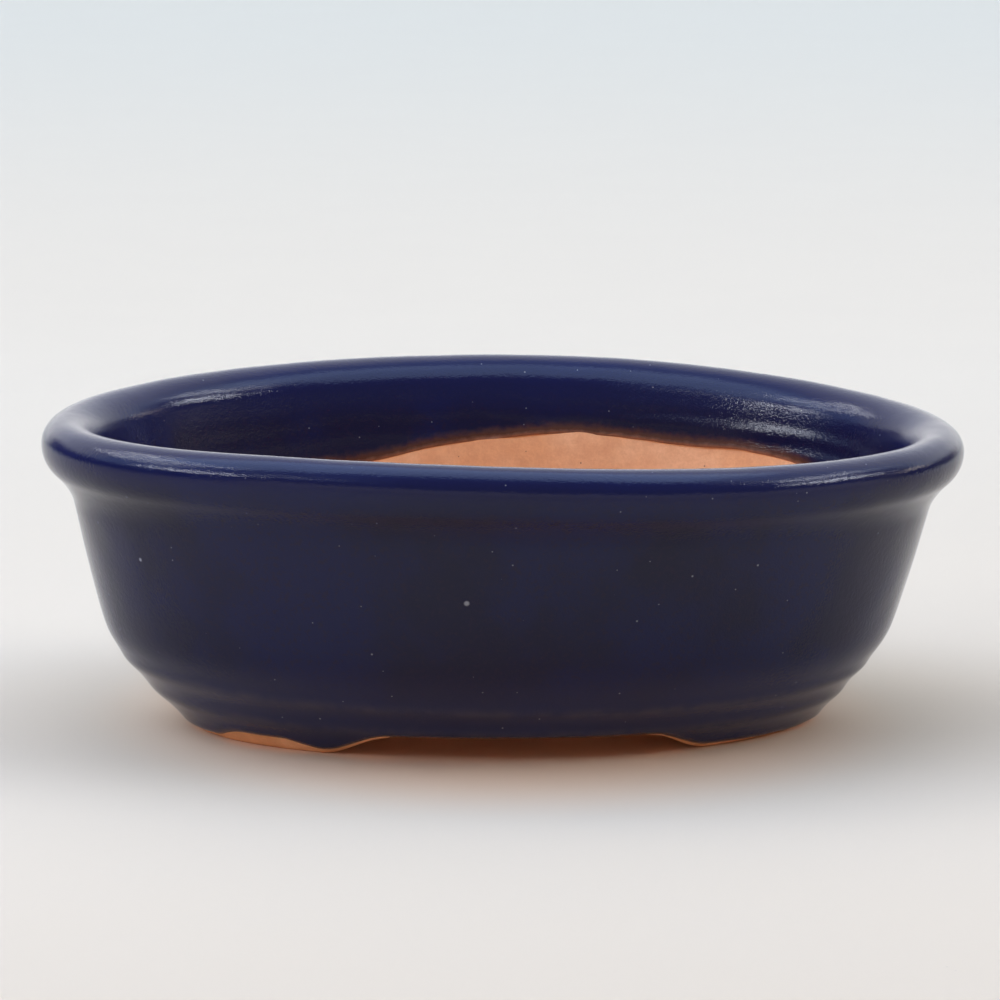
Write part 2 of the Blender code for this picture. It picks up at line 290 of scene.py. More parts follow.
glaze = {
    "stations": 560,
    "faceSteps": 118,
    "backSteps": 20,
    "clayDepth": 0.40 * mm,  # the clay under the full glaze, below the finished surface
    "edgeThickness": 0.05 * mm,
    "edgeTaper": 1.6 * mm,
    "footTaper": 2.5,  # the foot's edge thins this much faster than the inner one
    "bead": 0.14 * mm,  # how much thicker the glaze rolls at its foot
    "beadAbove": 1.1 * mm,
    "beadWidth": 0.8 * mm,
    "clearance": 0.01 * mm,  # the back of the glaze stands this far clear of the clay
    "footEdge": 0.50 * mm,  # bare clay under the glaze along the feet
    "archEdge": 0.12 * mm,
    "footEdgeWaves": ((2.2, 0.12 * mm), (9, 0.07 * mm), (28, 0.04 * mm)),
    "footEdgeLeast": 0.12 * mm,
    "archEdgeWaves": ((30, 0.05 * mm),),
    "wipedPatch": (math.radians(-151), math.radians(-122), 1.45 * mm),  # from, to, wiped this high
    "wipedRamps": (0.18, 0.15),  # turn over which the patch rises and falls
    "insideDrop": 17.5 * mm,  # from the crest down to the glaze's edge inside
    "insideRise": (math.radians(62), math.radians(36), 4.9 * mm),  # where it climbs, how wide, how much
    "insideWaves": ((1.6, 0.3 * mm), (5, 0.25 * mm), (16, 0.06 * mm)),
    "grooves": (3.6 * mm, 0.048 * mm, math.radians(48)),  # fingers inside: pitch, depth, deepest here
    "groovesBelow": (5 * mm, 3 * mm),  # they start this far under the crest and deepen over this
    "groovesLeast": 0.08,  # share of their depth that is left on the far side
    "grooveWaves": ((1.5, 1.6), (6, 0.5)),
    "closerSteps": 0.035,
    "thinReach": 2.2 * mm,  # how far the thin glaze shows brown from its inner edge
    "thinAtFoot": 6,  # and this much less at the foot
    "relief": ((34 * mm, 0.16 * mm), (11 * mm, 0.07 * mm), (4.5 * mm, 0.022 * mm)),
}


def glazeFoot(turn):
    # lower edge of the glaze: a little above the feet and the arches, with one patch wiped higher
    ground = groundLine(turn)
    rise = ground / groundLine(np.array([math.pi / 2]))
    bare = glaze["footEdge"] + wavy(turn, 3.1, glaze["footEdgeWaves"])
    bare = np.maximum(bare, glaze["footEdgeLeast"])
    start, end, high = glaze["wipedPatch"]
    up, down = glaze["wipedRamps"]
    along = (turn + math.pi) % (2 * math.pi) - math.pi
    patch = np.clip((along - start) / up, 0, 1) * np.clip((end - along) / down, 0, 1)
    bare = bare + high * patch * patch * (3 - 2 * patch)
    return ground + bare * (1 - rise) + (glaze["archEdge"] + wavy(turn, 5.3, glaze["archEdgeWaves"])) * rise


def glazeInside(turn):
    middle, width, rise = glaze["insideRise"]
    away = (turn - middle + math.pi) % (2 * math.pi) - math.pi
    edge = pot["height"] - glaze["insideDrop"] + rise * np.exp(-((away / width) ** 4))
    return edge + wavy(turn, 8.7, glaze["insideWaves"])


def makeGlaze():
    turns = fullTurns(glaze["stations"])
    low, high = outsideAt(glazeFoot(turns)), insideAt(glazeInside(turns))
    share = np.linspace(0, 1, glaze["faceSteps"])
    share = share - glaze["closerSteps"] * np.sin(2 * math.pi * share)  # closer at both edges
    place = low[:, None] + (high - low)[:, None] * share
    fromFoot, fromInside = place - low[:, None], high[:, None] - place
    depth = glaze["clayDepth"]
    full = 1 - np.exp(-np.minimum(fromFoot * glaze["footTaper"], fromInside) / glaze["edgeTaper"])
    thickness = glaze["edgeThickness"] + (depth - glaze["edgeThickness"]) * full
    thickness += glaze["bead"] * np.exp(-(((fromFoot - glaze["beadAbove"]) / glaze["beadWidth"]) ** 2))
    inset, height = onLine(place, depth - thickness)
    outside = place < lineLength[crestIndex]
    ridge = ridgeShape(height, turns[:, None]) * outside
    pitch, groove, deepest = glaze["grooves"]
    least = glaze["groovesLeast"]
    groove = groove * (least + (1 - least) * (0.5 + 0.5 * np.cos(turns - deepest)) ** 3)[:, None]
    phase = 2 * math.pi * height / pitch + wavy(turns, 4.4, glaze["grooveWaves"])[:, None]
    start, ramp = glaze["groovesBelow"]
    fade = np.clip((pot["height"] - start - height) / ramp, 0, 1) * (place > lineLength[crestIndex])
    inset = inset + groove * np.sin(phase) * fade
    face = relief(standUp(turns, inset - pot["ridgeProud"] * ridge, height), glaze["relief"], 2.0)
    backShare = np.linspace(1, 0, glaze["backSteps"])
    backPlace = low[:, None] + (high - low)[:, None] * backShare
    inset, height = onLine(backPlace, depth - glaze["clearance"])
    outside = backPlace < lineLength[crestIndex]
    inset = inset - pot["ridgeProud"] * ridgeShape(height, turns[:, None]) * outside
    back = relief(standUp(turns, inset, height), glaze["relief"], 2.0)
    thin = np.exp(-np.minimum(fromInside, fromFoot * glaze["thinAtFoot"]) / glaze["thinReach"])
    attributes = {
        "thinGlaze": np.concatenate([thin, np.ones(back.shape[:2])], 1),
        # the ridge tops, for the paler break and the painted sheen there
        "ridgeBreakSheen": np.concatenate([ridge**2, np.zeros(back.shape[:2])], 1),
    }
    loops = np.concatenate([face, back], 1)
    return pieceFrom("glazeCoat", loops, True, attributes)


# what all the clay pieces share
clay = {
    "stations": 420,
    "arris": 0.6 * mm,  # worn roundness of the lower edges
    "relief": ((34 * mm, 0.16 * mm), (11 * mm, 0.07 * mm)),
    "insideRelief": ((26 * mm, 0.25 * mm), (9 * mm, 0.13 * mm), (3 * mm, 0.04 * mm)),
    "seam": 0.3 * mm,
}


def clayAt(height, top=False):
    # place along the line where the clay under the glaze has this height, outside or inside
    levels = onLine(lineLength, glaze["clayDepth"])[1]
    if top:
        return np.interp(-height, -levels[crestIndex:], lineLength[crestIndex:])
    return np.interp(height, levels[:crestIndex], lineLength[:crestIndex])


def softCorner(before, corner, after, size, steps=5):
    start = corner + (before - corner).normalized() * size
    end = corner + (after - corner).normalized() * size
    shares = [i / steps for i in range(steps + 1)]
    return [start * (1 - t) ** 2 + corner * 2 * t * (1 - t) + end * t * t for t in shares]


wall = {
    "outsideSteps": 44,
    "closerLow": 1.6,  # above 1 the steps outside come closer towards the ridges
    "insideSteps": 64,
    "floorSeam": 0.05 * mm,  # the floor is smeared almost shut against the wall
    "floorInset": pot["length"] / 2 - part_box("floor_slab")[1].x,
}


def makeWall():
    turns = fullTurns(clay["stations"])
    ones = np.ones((len(turns), 1))
    low, top = pot["underside"], pot["rimSeam"] - clay["seam"]
    start = clayAt(low + clay["arris"])
    outside = start + (clayAt(top) - start) * np.linspace(0, 1, wall["outsideSteps"]) ** wall["closerLow"]
    inside = np.linspace(clayAt(top, True), lineLength[-1], wall["insideSteps"])
    grids = []
    for place, layers in ((outside, clay["relief"]), (inside, clay["insideRelief"])):
        inset, height = onLine(place, glaze["clayDepth"])
        if place is outside:
            inset = inset - pot["ridgeProud"] * ridgeShape(height, turns[:, None])
        grids.append(relief(standUp(turns, inset * ones, height * ones), layers, 2.0))
    seam = wall["floorInset"] - wall["floorSeam"]
    first = Vector([float(v) for v in onLine(start, glaze["clayDepth"])])
    corner = Vector([float(v) for v in onLine(clayAt(low), glaze["clayDepth"])])
    base = [Vector((seam, pot["floorTop"])), Vector((seam, low))]
    base += softCorner(Vector((seam, low)), corner, first, clay["arris"])[:-1]
    base = np.array(base)
    grids.append(standUp(turns, base[:, 0] * ones, base[:, 1] * ones))
    return pieceFrom("wallShell", np.concatenate(grids, 1), True)


rim = {"steps": 72}


def makeRim():
    # the lip's coil, all of it under the glaze
    turns = fullTurns(clay["stations"])
    ones = np.ones((len(turns), 1))
    place = np.linspace(clayAt(pot["rimSeam"]), clayAt(pot["rimSeam"], True), rim["steps"])
    inset, height = onLine(place, glaze["clayDepth"])
    points = relief(standUp(turns, inset * ones, height * ones), clay["relief"], 2.0)
    return pieceFrom("rimRoll", points, True)


floor = {
    "turns": 200,
    "rings": 26,
    "innerRing": 0.06,  # share of the slab that is one flat patch in the middle
    "drainDiameter": 13 * mm,
    "drainSpacing": 48 * mm,
    "wireDiameter": 4 * mm,
    "wireSpacing": (22 * mm, 26 * mm),
    "holeSoftness": 0.5 * mm,
    "drillDepth": 30 * mm,
}


def bakeModifiers(made):
    evaluated = made.evaluated_get(bpy.context.evaluated_depsgraph_get())
    mesh = bpy.data.meshes.new_from_object(evaluated)
    made.modifiers.clear()
    made.data = mesh


def drill(slab, diameter, x, y):
    hole = bmesh.new()
    size = {"radius1": diameter / 2, "radius2": diameter / 2, "depth": floor["drillDepth"]}
    bmesh.ops.create_cone(hole, cap_ends=True, segments=64, **size)
    bmesh.ops.translate(hole, verts=hole.verts, vec=(x, y, pot["floorTop"]))
    mesh = bpy.data.meshes.new("hole")
    hole.to_mesh(mesh)
    hole.free()
    cutter = bpy.data.objects.new("hole", mesh)
    bpy.context.scene.collection.objects.link(cutter)
    cut = slab.modifiers.new("hole", "BOOLEAN")
    cut.operation, cut.solver, cut.object = "DIFFERENCE", "EXACT", cutter
    bakeModifiers(slab)
    bpy.data.objects.remove(cutter)
    bpy.data.meshes.remove(mesh)


def softenHoles(slab):
    # rounds the rims of the holes, and leaves the slab's outer edge sharp against the wall
    softened = bmesh.new()
    softened.from_mesh(slab.data)
    reach = floor["drainSpacing"] / 2 + floor["drainDiameter"]
    sharp = []
    for edge in softened.edges:
        inMiddle = all(abs(v.co.x) < reach and abs(v.co.y) < reach / 2 for v in edge.verts)
        if inMiddle and edge.calc_face_angle(0) > math.radians(60):
            sharp.append(edge)
    size = floor["holeSoftness"]
    bmesh.ops.bevel(softened, geom=sharp, offset=size, segments=3, profile=0.5, affect="EDGES")
    softened.to_mesh(slab.data)
    softened.free()


def makeFloor():
    # a slab of rings, uneven on top, with two drain holes and four tie-wire holes
    turns = fullTurns(floor["turns"])
    shares = np.linspace(1, floor["innerRing"], floor["rings"])
    edge = np.stack(ovalPoint(turns, wall["floorInset"]), 1)
    layers = []
    for level in (pot["floorTop"], pot["underside"]):
        flat = edge[:, None, :] * shares[None, :, None]
        grid = np.concatenate([flat, np.full((*flat.shape[:2], 1), level)], 2)
        if level == pot["floorTop"]:
            grid = relief(grid, clay["insideRelief"][1:], 4.0)
        grid[:, :, 2] = lifted(grid[:, :, 2], turns[:, None])
        layers.append(grid)
    slab = bmesh.new()
    top, bottom = [[[slab.verts.new(p) for p in row] for row in grid] for grid in layers]
    for i in range(len(turns)):
        j = (i + 1) % len(turns)
        for grid in (top, bottom):
            for k in range(len(shares) - 1):
                slab.faces.new((grid[i][k], grid[j][k], grid[j][k + 1], grid[i][k + 1]))
        slab.faces.new((top[i][0], top[j][0], bottom[j][0], bottom[i][0]))
    for grid in (top, bottom):
        slab.faces.new([row[-1] for row in grid])
    bmesh.ops.recalc_face_normals(slab, faces=slab.faces)
    mesh = bpy.data.meshes.new("floorSlab")
    slab.to_mesh(mesh)
    slab.free()
    made = bpy.data.objects.new("floorSlab", mesh)
    bpy.context.scene.collection.objects.link(made)
    wireX, wireY = floor["wireSpacing"]
    for side in (-1, 1):
        drill(made, floor["drainDiameter"], side * floor["drainSpacing"] / 2, 0)
        for across in (-1, 1):
            drill(made, floor["wireDiameter"], side * wireX / 2, across * wireY / 2)
    softenHoles(made)
    made.data.shade_smooth()
    return made


foot = {
    "stations": 760,  # round more than half the oval, before the arch is left out
    "outlinePoints": 48,
    "shortOf": 0.2,  # turn by which the end of a foot stops short of the pot's middle
    "width": 5.2 * mm,
    "lean": 0.5 * mm,
    "seam": 0.04 * mm,  # luted almost tight under the wall
}


def footOutline(ground):
    # closed outline of a foot: outer face on the skirt, soft lower edges, upright inner face
    top = pot["footTop"] + clay["seam"] - foot["seam"]
    soft = min(clay["arris"], 0.4 * (top - ground))
    heights = np.linspace(top, ground, 12)
    outer = [Vector(p) for p in zip(*onLine(clayAt(heights), glaze["clayDepth"]))]
    inner = outer[-1].x + foot["width"]
    low, high = Vector((inner, ground)), Vector((inner + foot["lean"], top))
    face = [p for p in outer[:-1] if p.y > ground + soft * 0.8]
    under = [outer[-1].lerp(low, t) for t in np.linspace(0.15, 0.85, 7)]
    rise = [low.lerp(high, t) for t in np.linspace(0.3, 1, 5)]
    outerCorner = softCorner(face[-1], outer[-1], low, soft)
    innerCorner = softCorner(outer[-1], low, high, soft)
    return face, outerCorner, under, innerCorner, rise


def makeFoot(name, middle):
    # a low strip of clay bent round one end, dying out towards the arches
    reach = math.pi / 2 - foot["shortOf"]
    turns = middle + np.linspace(-reach, reach, foot["stations"])
    ground = groundLine(turns)
    kept = ground < 0.999 * ground.max()
    turns, ground = turns[kept][::2], ground[kept][::2]
    outlines = []
    for level in ground:
        outline = np.array(sum(footOutline(level), []))
        length = np.concatenate([[0], np.cumsum(np.linalg.norm(np.diff(outline, axis=0), axis=1))])
        even = np.linspace(0, length[-1], foot["outlinePoints"])
        outlines.append(np.stack([np.interp(even, length, outline[:, k]) for k in (0, 1)], 1))
    outlines = np.array(outlines)
    outlines[:, :, 0] -= pot["ridgeProud"] * ridgeShape(outlines[:, :, 1], turns[:, None])
    points = relief(standUp(turns, outlines[:, :, 0], outlines[:, :, 1]), clay["relief"], 2.0)
    points[:, :, 2] = np.maximum(points[:, :, 2], 0)  # worn flat by the ground
    return pieceFrom(name, points, False)


print("glaze")
glazeCoat = makeGlaze()
print("clay")
wallShell = makeWall()
rimRoll = makeRim()
floorSlab = makeFloor()
footLeft = makeFoot("footLeft", math.pi)
footRight = makeFoot("footRight", 0)
pieces = (
    (glazeCoat, "glaze_coat", "glaze"),
    (wallShell, "wall_shell", "clay"),
    (rimRoll, "rim_roll", "clay"),
    (floorSlab, "floor_slab", "clay"),
    (footLeft, "foot_left", "clay"),
    (footRight, "foot_right", "clay"),
)
for piece, node, slotName in pieces:
    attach(piece, "root")
    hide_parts(node)


def addNode(tree, kind, inputs=None, **settings):
    made = tree.nodes.new(kind)
    for key, value in settings.items():
        setattr(made, key, value)
    for key, value in (inputs or {}).items():
        if isinstance(value, bpy.types.NodeSocket):
            tree.links.new(value, made.inputs[key])
        else:
            made.inputs[key].default_value = value
    return made


def mathNode(tree, operation, *values):
    return addNode(tree, "ShaderNodeMath", dict(enumerate(values)), operation=operation).outputs[0]


def ranged(tree, value, fromLow, fromHigh, low=0.0, high=1.0):
    inputs = {"Value": value, "From Min": fromLow, "From Max": fromHigh, "To Min": low, "To Max": high}
    return addNode(tree, "ShaderNodeMapRange", inputs, interpolation_type="SMOOTHSTEP").outputs[0]


def mixed(tree, share, first, second):
    # the colour sockets of a mix node are 6 and 7, and its colour result is 2
    first, second = [(*c, 1) if isinstance(c, tuple) else c for c in (first, second)]
    return addNode(tree, "ShaderNodeMix", {0: share, 6: first, 7: second}, data_type="RGBA").outputs[2]


def newGroup(name, inputs, outputs):
    tree = bpy.data.node_groups.new(name, "ShaderNodeTree")
    for label, value in inputs:
        socket = tree.interface.new_socket(label, in_out="INPUT", socket_type="NodeSocketFloat")
        socket.default_value = value
    for label in outputs:
        tree.interface.new_socket(label, in_out="OUTPUT", socket_type="NodeSocketFloat")
    return tree, tree.nodes.new("NodeGroupInput"), tree.nodes.new("NodeGroupOutput")


def stretchedPlace(tree, stretch):
    place = addNode(tree, "ShaderNodeTexCoord").outputs["Object"]
    squash = addNode(tree, "ShaderNodeCombineXYZ", {"X": 1.0, "Y": 1.0, "Z": stretch}).outputs[0]
    return addNode(tree, "ShaderNodeVectorMath", {0: place, 1: squash}, operation="MULTIPLY").outputs[0]


def makeDriftGroup():
    # soft patches of change: Patch is their size in metres, Upright squeezes them upwards when above 1
    labels = (("Patch", 0.01), ("Detail", 2.0), ("Upright", 1.0))
    tree, given, result = newGroup("firedDrift", labels, ("Value",))
    scale = mathNode(tree, "DIVIDE", 1.0, given.outputs["Patch"])
    inputs = {"Vector": stretchedPlace(tree, given.outputs["Upright"]), "Scale": scale, "Roughness": 0.55}
    inputs["Detail"] = given.outputs["Detail"]
    tree.links.new(addNode(tree, "ShaderNodeTexNoise", inputs).outputs[0], result.inputs[0])
    return tree


def makeSpeckGroup():
    # scattered round specks: Spacing and Radius in metres, Share is how many of the places hold one
    labels = (("Spacing", 0.002), ("Radius", 0.0002), ("Share", 0.3))
    tree, given, result = newGroup("kilnSpecks", labels, ("Mask",))
    scale = mathNode(tree, "DIVIDE", 1.0, given.outputs["Spacing"])
    cell = addNode(tree, "ShaderNodeTexVoronoi", {"Vector": stretchedPlace(tree, 1.0), "Scale": scale})
    parts = addNode(tree, "ShaderNodeSeparateColor", {"Color": cell.outputs["Color"]})
    away = mathNode(tree, "MULTIPLY", cell.outputs["Distance"], given.outputs["Spacing"])
    size = mathNode(tree, "MULTIPLY", given.outputs["Radius"], mathNode(tree, "ADD", 0.5, parts.outputs[1]))
    spot = ranged(tree, mathNode(tree, "DIVIDE", away, size), 1.0, 0.55)
    kept = mathNode(tree, "LESS_THAN", parts.outputs[0], given.outputs["Share"])
    tree.links.new(mathNode(tree, "MULTIPLY", spot, kept), result.inputs[0])
    return tree


def makeGritGroup():
    # the open grain of fired clay: Grain in metres; Height for the bump and Tone for the colour
    tree, given, result = newGroup("clayGrit", (("Grain", 0.0004), ("Coarse", 0.5)), ("Height", "Tone"))
    scale = mathNode(tree, "DIVIDE", 1.0, given.outputs["Grain"])
    place = stretchedPlace(tree, 1.0)
    inputs = {"Vector": place, "Scale": scale, "Detail": 3.0, "Roughness": 0.65}
    fine = addNode(tree, "ShaderNodeTexNoise", inputs).outputs[0]
    inputs = {"Vector": place, "Scale": mathNode(tree, "MULTIPLY", scale, 0.22), "Detail": 2.0}
    broad = addNode(tree, "ShaderNodeTexNoise", inputs).outputs[0]
    inputs = {"Vector": place, "Scale": mathNode(tree, "MULTIPLY", scale, 0.45)}
    grains = ranged(tree, addNode(tree, "ShaderNodeTexVoronoi", inputs).outputs["Distance"], 0.55, 0.05)
    lumps = mathNode(tree, "MULTIPLY", grains, given.outputs["Coarse"])
    height = mathNode(tree, "ADD", mathNode(tree, "ADD", fine, lumps), broad)
    tree.links.new(mathNode(tree, "MULTIPLY", height, 0.4), result.inputs[0])
    tone = mathNode(tree, "MULTIPLY", mathNode(tree, "ADD", fine, broad), 0.5)
    tree.links.new(tone, result.inputs[1])
    return tree


driftGroup, speckGroup, gritGroup = makeDriftGroup(), makeSpeckGroup(), makeGritGroup()


def placed(tree, group, values):
    made = tree.nodes.new("ShaderNodeGroup")
    made.node_tree = group
    for key, value in values.items():
        made.inputs[key].default_value = value
    return made


def drift(tree, patch, detail=2.0, upright=1.0):
    return placed(tree, driftGroup, {"Patch": patch, "Detail": detail, "Upright": upright}).outputs[0]


def specks(tree, spacing, radius, share, strength):
    made = placed(tree, speckGroup, {"Spacing": spacing, "Radius": radius, "Share": share})
    return mathNode(tree, "MULTIPLY", made.outputs["Mask"], strength)


def startMaterial(name):
    made = bpy.data.materials.new(name)
    made.use_nodes = True
    tree = made.node_tree
    return made, tree, tree.nodes["Principled BSDF"]


navy = {  # colours are linear
    "patch": 26 * mm,  # size of the drift from deep to blue
    "mottle": 0.9 * mm,
    "deep": (0.0055, 0.0048, 0.026),
    "purple": (0.0105, 0.0062, 0.026),
    "blue": (0.0050, 0.0062, 0.044),
    "lipBlue": (0.0065, 0.0095, 0.056),
    "skirt": (0.026, 0.029, 0.074),  # painted bounce light from the floor: paler under the belly
    "skirtBounceHeights": (19 * mm, 9 * mm),
    "lipHeights": (44 * mm, 50.5 * mm),  # where the richer blue of the lip sets in
    # paler over the ridges: partly the glaze breaking thin, partly a painted sheen
    "ridge": (0.042, 0.037, 0.062),
    "thinBrown": (0.085, 0.035, 0.022),
    "showing": (0.30, 0.145, 0.090),
    "speck": (0.24, 0.25, 0.28),
    "specks": (1.9 * mm, 0.15 * mm, 0.28, 0.65),  # spacing, radius, share and strength
    "pin": (0.30, 0.29, 0.30),
    "pins": (11 * mm, 0.22 * mm, 0.22, 1.0),
    "pinColor": 0.6,
    "pinholes": (  # place and size in millimetres, and colour
        (-11.0, -51.6, 29.9, 0.60, (0.24, 0.24, 0.27)),
        (-63.5, -26.6, 33.2, 0.45, (0.24, 0.24, 0.28)),
        (-35.7, 43.8, 50.4, 0.75, (0.45, 0.36, 0.20)),
        (5.9, 51.8, 51.0, 0.60, (0.40, 0.38, 0.36)),
        (8.5, 48.1, 40.6, 0.55, (0.42, 0.30, 0.16)),
        (26.0, 49.2, 52.0, 0.60, (0.45, 0.48, 0.52)),
        (30.0, 46.5, 43.5, 0.55, (0.30, 0.16, 0.09)),
    ),
    "roughness": (0.02, 0.07),
    "ior": 1.36,
    "ripples": (  # size, how much it is squeezed upwards, strength and height, coarse to fine
        (0.85 * mm, 1.0, 0.36, 0.10 * mm),
        (0.45 * mm, 0.22, 0.24, 0.03 * mm),
        (0.32 * mm, 1.0, 0.9, 0.040 * mm),
    ),
    "pits": (0.8, 0.12 * mm),
}


def bumped(tree, height, strength, distance, normal=None, invert=False):
    inputs = {"Height": height, "Strength": strength, "Distance": distance}
    if normal is not None:
        inputs["Normal"] = normal
    return addNode(tree, "ShaderNodeBump", inputs, invert=invert).outputs[0]


def navyGlaze():
    made, tree, shader = startMaterial("navyGlaze")
    place = addNode(tree, "ShaderNodeTexCoord").outputs["Object"]
    height = addNode(tree, "ShaderNodeSeparateXYZ", {0: place}).outputs["Z"]
    wide = ranged(tree, drift(tree, navy["patch"], 3.0), 0.40, 0.62)
    color = mixed(tree, wide, navy["deep"], navy["blue"])
    mottle = ranged(tree, drift(tree, navy["mottle"], 3.0), 0.50, 0.68, 0.0, 0.7)
    color = mixed(tree, mottle, color, navy["purple"])
    color = mixed(tree, ranged(tree, height, *navy["lipHeights"], 0.0, 0.75), color, navy["lipBlue"])
    # painted bounce light: the glaze is made paler and bluer low on the skirt, standing in for the floor's
    # light
    color = mixed(tree, ranged(tree, height, *navy["skirtBounceHeights"], 0.0, 0.7), color, navy["skirt"])
    # the glaze breaks paler over the ridges, in patches, partly a painted sheen on their crests
    ridge = addNode(tree, "ShaderNodeAttribute", attribute_name="ridgeBreakSheen").outputs["Fac"]
    breakSheenPatches = ranged(tree, drift(tree, 5 * mm, 3.0), 0.30, 0.65, 0.25, 0.9)
    color = mixed(tree, mathNode(tree, "MULTIPLY", ridge, breakSheenPatches), color, navy["ridge"])
    color = mixed(tree, specks(tree, *navy["specks"]), color, navy["speck"])
    for x, y, z, size, shade in navy["pinholes"]:
        inputs = {0: place, 1: (x * mm, y * mm, z * mm)}
        away = addNode(tree, "ShaderNodeVectorMath", inputs, operation="DISTANCE").outputs["Value"]
        color = mixed(tree, ranged(tree, away, size * mm, 0.4 * size * mm), color, shade)
    pin = specks(tree, *navy["pins"])
    color = mixed(tree, mathNode(tree, "MULTIPLY", pin, navy["pinColor"]), color, navy["pin"])
    # brown where it is thin, then the clay showing through at a ragged edge
    thin = addNode(tree, "ShaderNodeAttribute", attribute_name="thinGlaze").outputs["Fac"]
    uneven = mathNode(tree, "MULTIPLY", mathNode(tree, "SUBTRACT", drift(tree, 1.4 * mm, 3.0), 0.5), 0.3)
    ragged = mathNode(tree, "ADD", thin, uneven)
    color = mixed(tree, ranged(tree, ragged, 0.32, 0.70), color, navy["thinBrown"])
    color = mixed(tree, ranged(tree, ragged, 0.70, 1.02), color, navy["showing"])
    tree.links.new(color, shader.inputs["Base Color"])
    rough = ranged(tree, drift(tree, 14 * mm, 4.0), 0.35, 0.7, *navy["roughness"])
    rough = mathNode(tree, "ADD", rough, ranged(tree, ragged, 0.5, 0.95, 0.0, 0.5))
    tree.links.new(rough, shader.inputs["Roughness"])
    normal = None
    for size, upright, strength, distance in navy["ripples"]:
        normal = bumped(tree, drift(tree, size, 2.0, upright), strength, distance, normal)
    normal = bumped(tree, pin, *navy["pits"], normal, invert=True)
    tree.links.new(normal, shader.inputs["Normal"])
    shader.inputs["IOR"].default_value = navy["ior"]
    return made


terracotta = {
    "warm": (0.79, 0.375, 0.170),
    "pale": (0.85, 0.455, 0.235),
    "scorched": (0.55, 0.22, 0.095),
    "speck": (0.16, 0.07, 0.04),
    "specks": (2.4 * mm, 0.16 * mm, 0.35),  # spacing, radius and share
    "grainHeight": 0.12 * mm,
    "ior": 1.45,
    "specular": 0.25,
    "finishes": {  # grain, how deep it is, scorch and iron specks
        "wallClay": (0.45 * mm, 0.55, 0.35, 0.75),
        "floorClay": (0.60 * mm, 0.75, 0.45, 0.75),
        "rimClay": (0.45 * mm, 0.55, 0.35, 0.6),
        "footClay": (0.50 * mm, 0.90, 0.15, 0.9),
    },
}


def bareClay(name):
    # unglazed clay: each piece has its own grain, scorch and iron specks
    made, tree, shader = startMaterial(name)
    grainSize, bump, scorching, dirt = terracotta["finishes"][name]
    grit = placed(tree, gritGroup, {"Grain": grainSize, "Coarse": 0.6})
    wide = ranged(tree, drift(tree, 18 * mm, 3.0), 0.35, 0.65)
    color = mixed(tree, wide, terracotta["warm"], terracotta["pale"])
    grain = ranged(tree, grit.outputs["Tone"], 0.35, 0.68, 0.35, 0.0)
    color = mixed(tree, grain, color, terracotta["scorched"])
    scorch = ranged(tree, drift(tree, 7 * mm, 4.0), 0.52, 0.75, 0.0, scorching)
    color = mixed(tree, scorch, color, terracotta["scorched"])
    color = mixed(tree, specks(tree, *terracotta["specks"], dirt), color, terracotta["speck"])
    tree.links.new(color, shader.inputs["Base Color"])
    tree.links.new(ranged(tree, grit.outputs["Tone"], 0.2, 0.8, 0.78, 0.95), shader.inputs["Roughness"])
    normal = bumped(tree, grit.outputs["Height"], bump, terracotta["grainHeight"])
    tree.links.new(normal, shader.inputs["Normal"])
    shader.inputs["IOR"].default_value = terracotta["ior"]
    shader.inputs["Specular IOR Level"].default_value = terracotta["specular"]
    return made


print("finishes")
footClay = bareClay("footClay")
finishes = (
    (glazeCoat, navyGlaze()),
    (wallShell, bareClay("wallClay")),
    (rimRoll, bareClay("rimClay")),
    (floorSlab, bareClay("floorClay")),
    (footLeft, footClay),
    (footRight, footClay),
)
for piece, finish in finishes:
    piece.data.materials.clear()
    piece.data.materials.append(finish)

table = {
    "radius": 5.0,
    "rings": 24,
    "spokes": 96,
    "near": (0.675, 0.575, 0.452),
    "middle": (0.795, 0.727, 0.61),
    "far": (0.695, 0.69, 0.61),
    "warm": (0.88, 0.61, 0.41),  # painted bounce light: the clay's orange thrown back on the paper under the pot
    "bounceGlowReach": (84 * mm, 44 * mm),
    "bounceGlowNarrower": 1.12,  # along the pot's length
    "fade": (-0.05, 0.42, 1.4),  # metres behind the pot where near, middle and far are reached
    "cloud": (0.62, 0.56, 0.50),
    "dust": (0.35, 0.30, 0.26),
    "dustSpecks": (9 * mm, 0.16 * mm, 0.35, 0.35),
    "roughness": 0.75,
    "specular": 0.2,
}


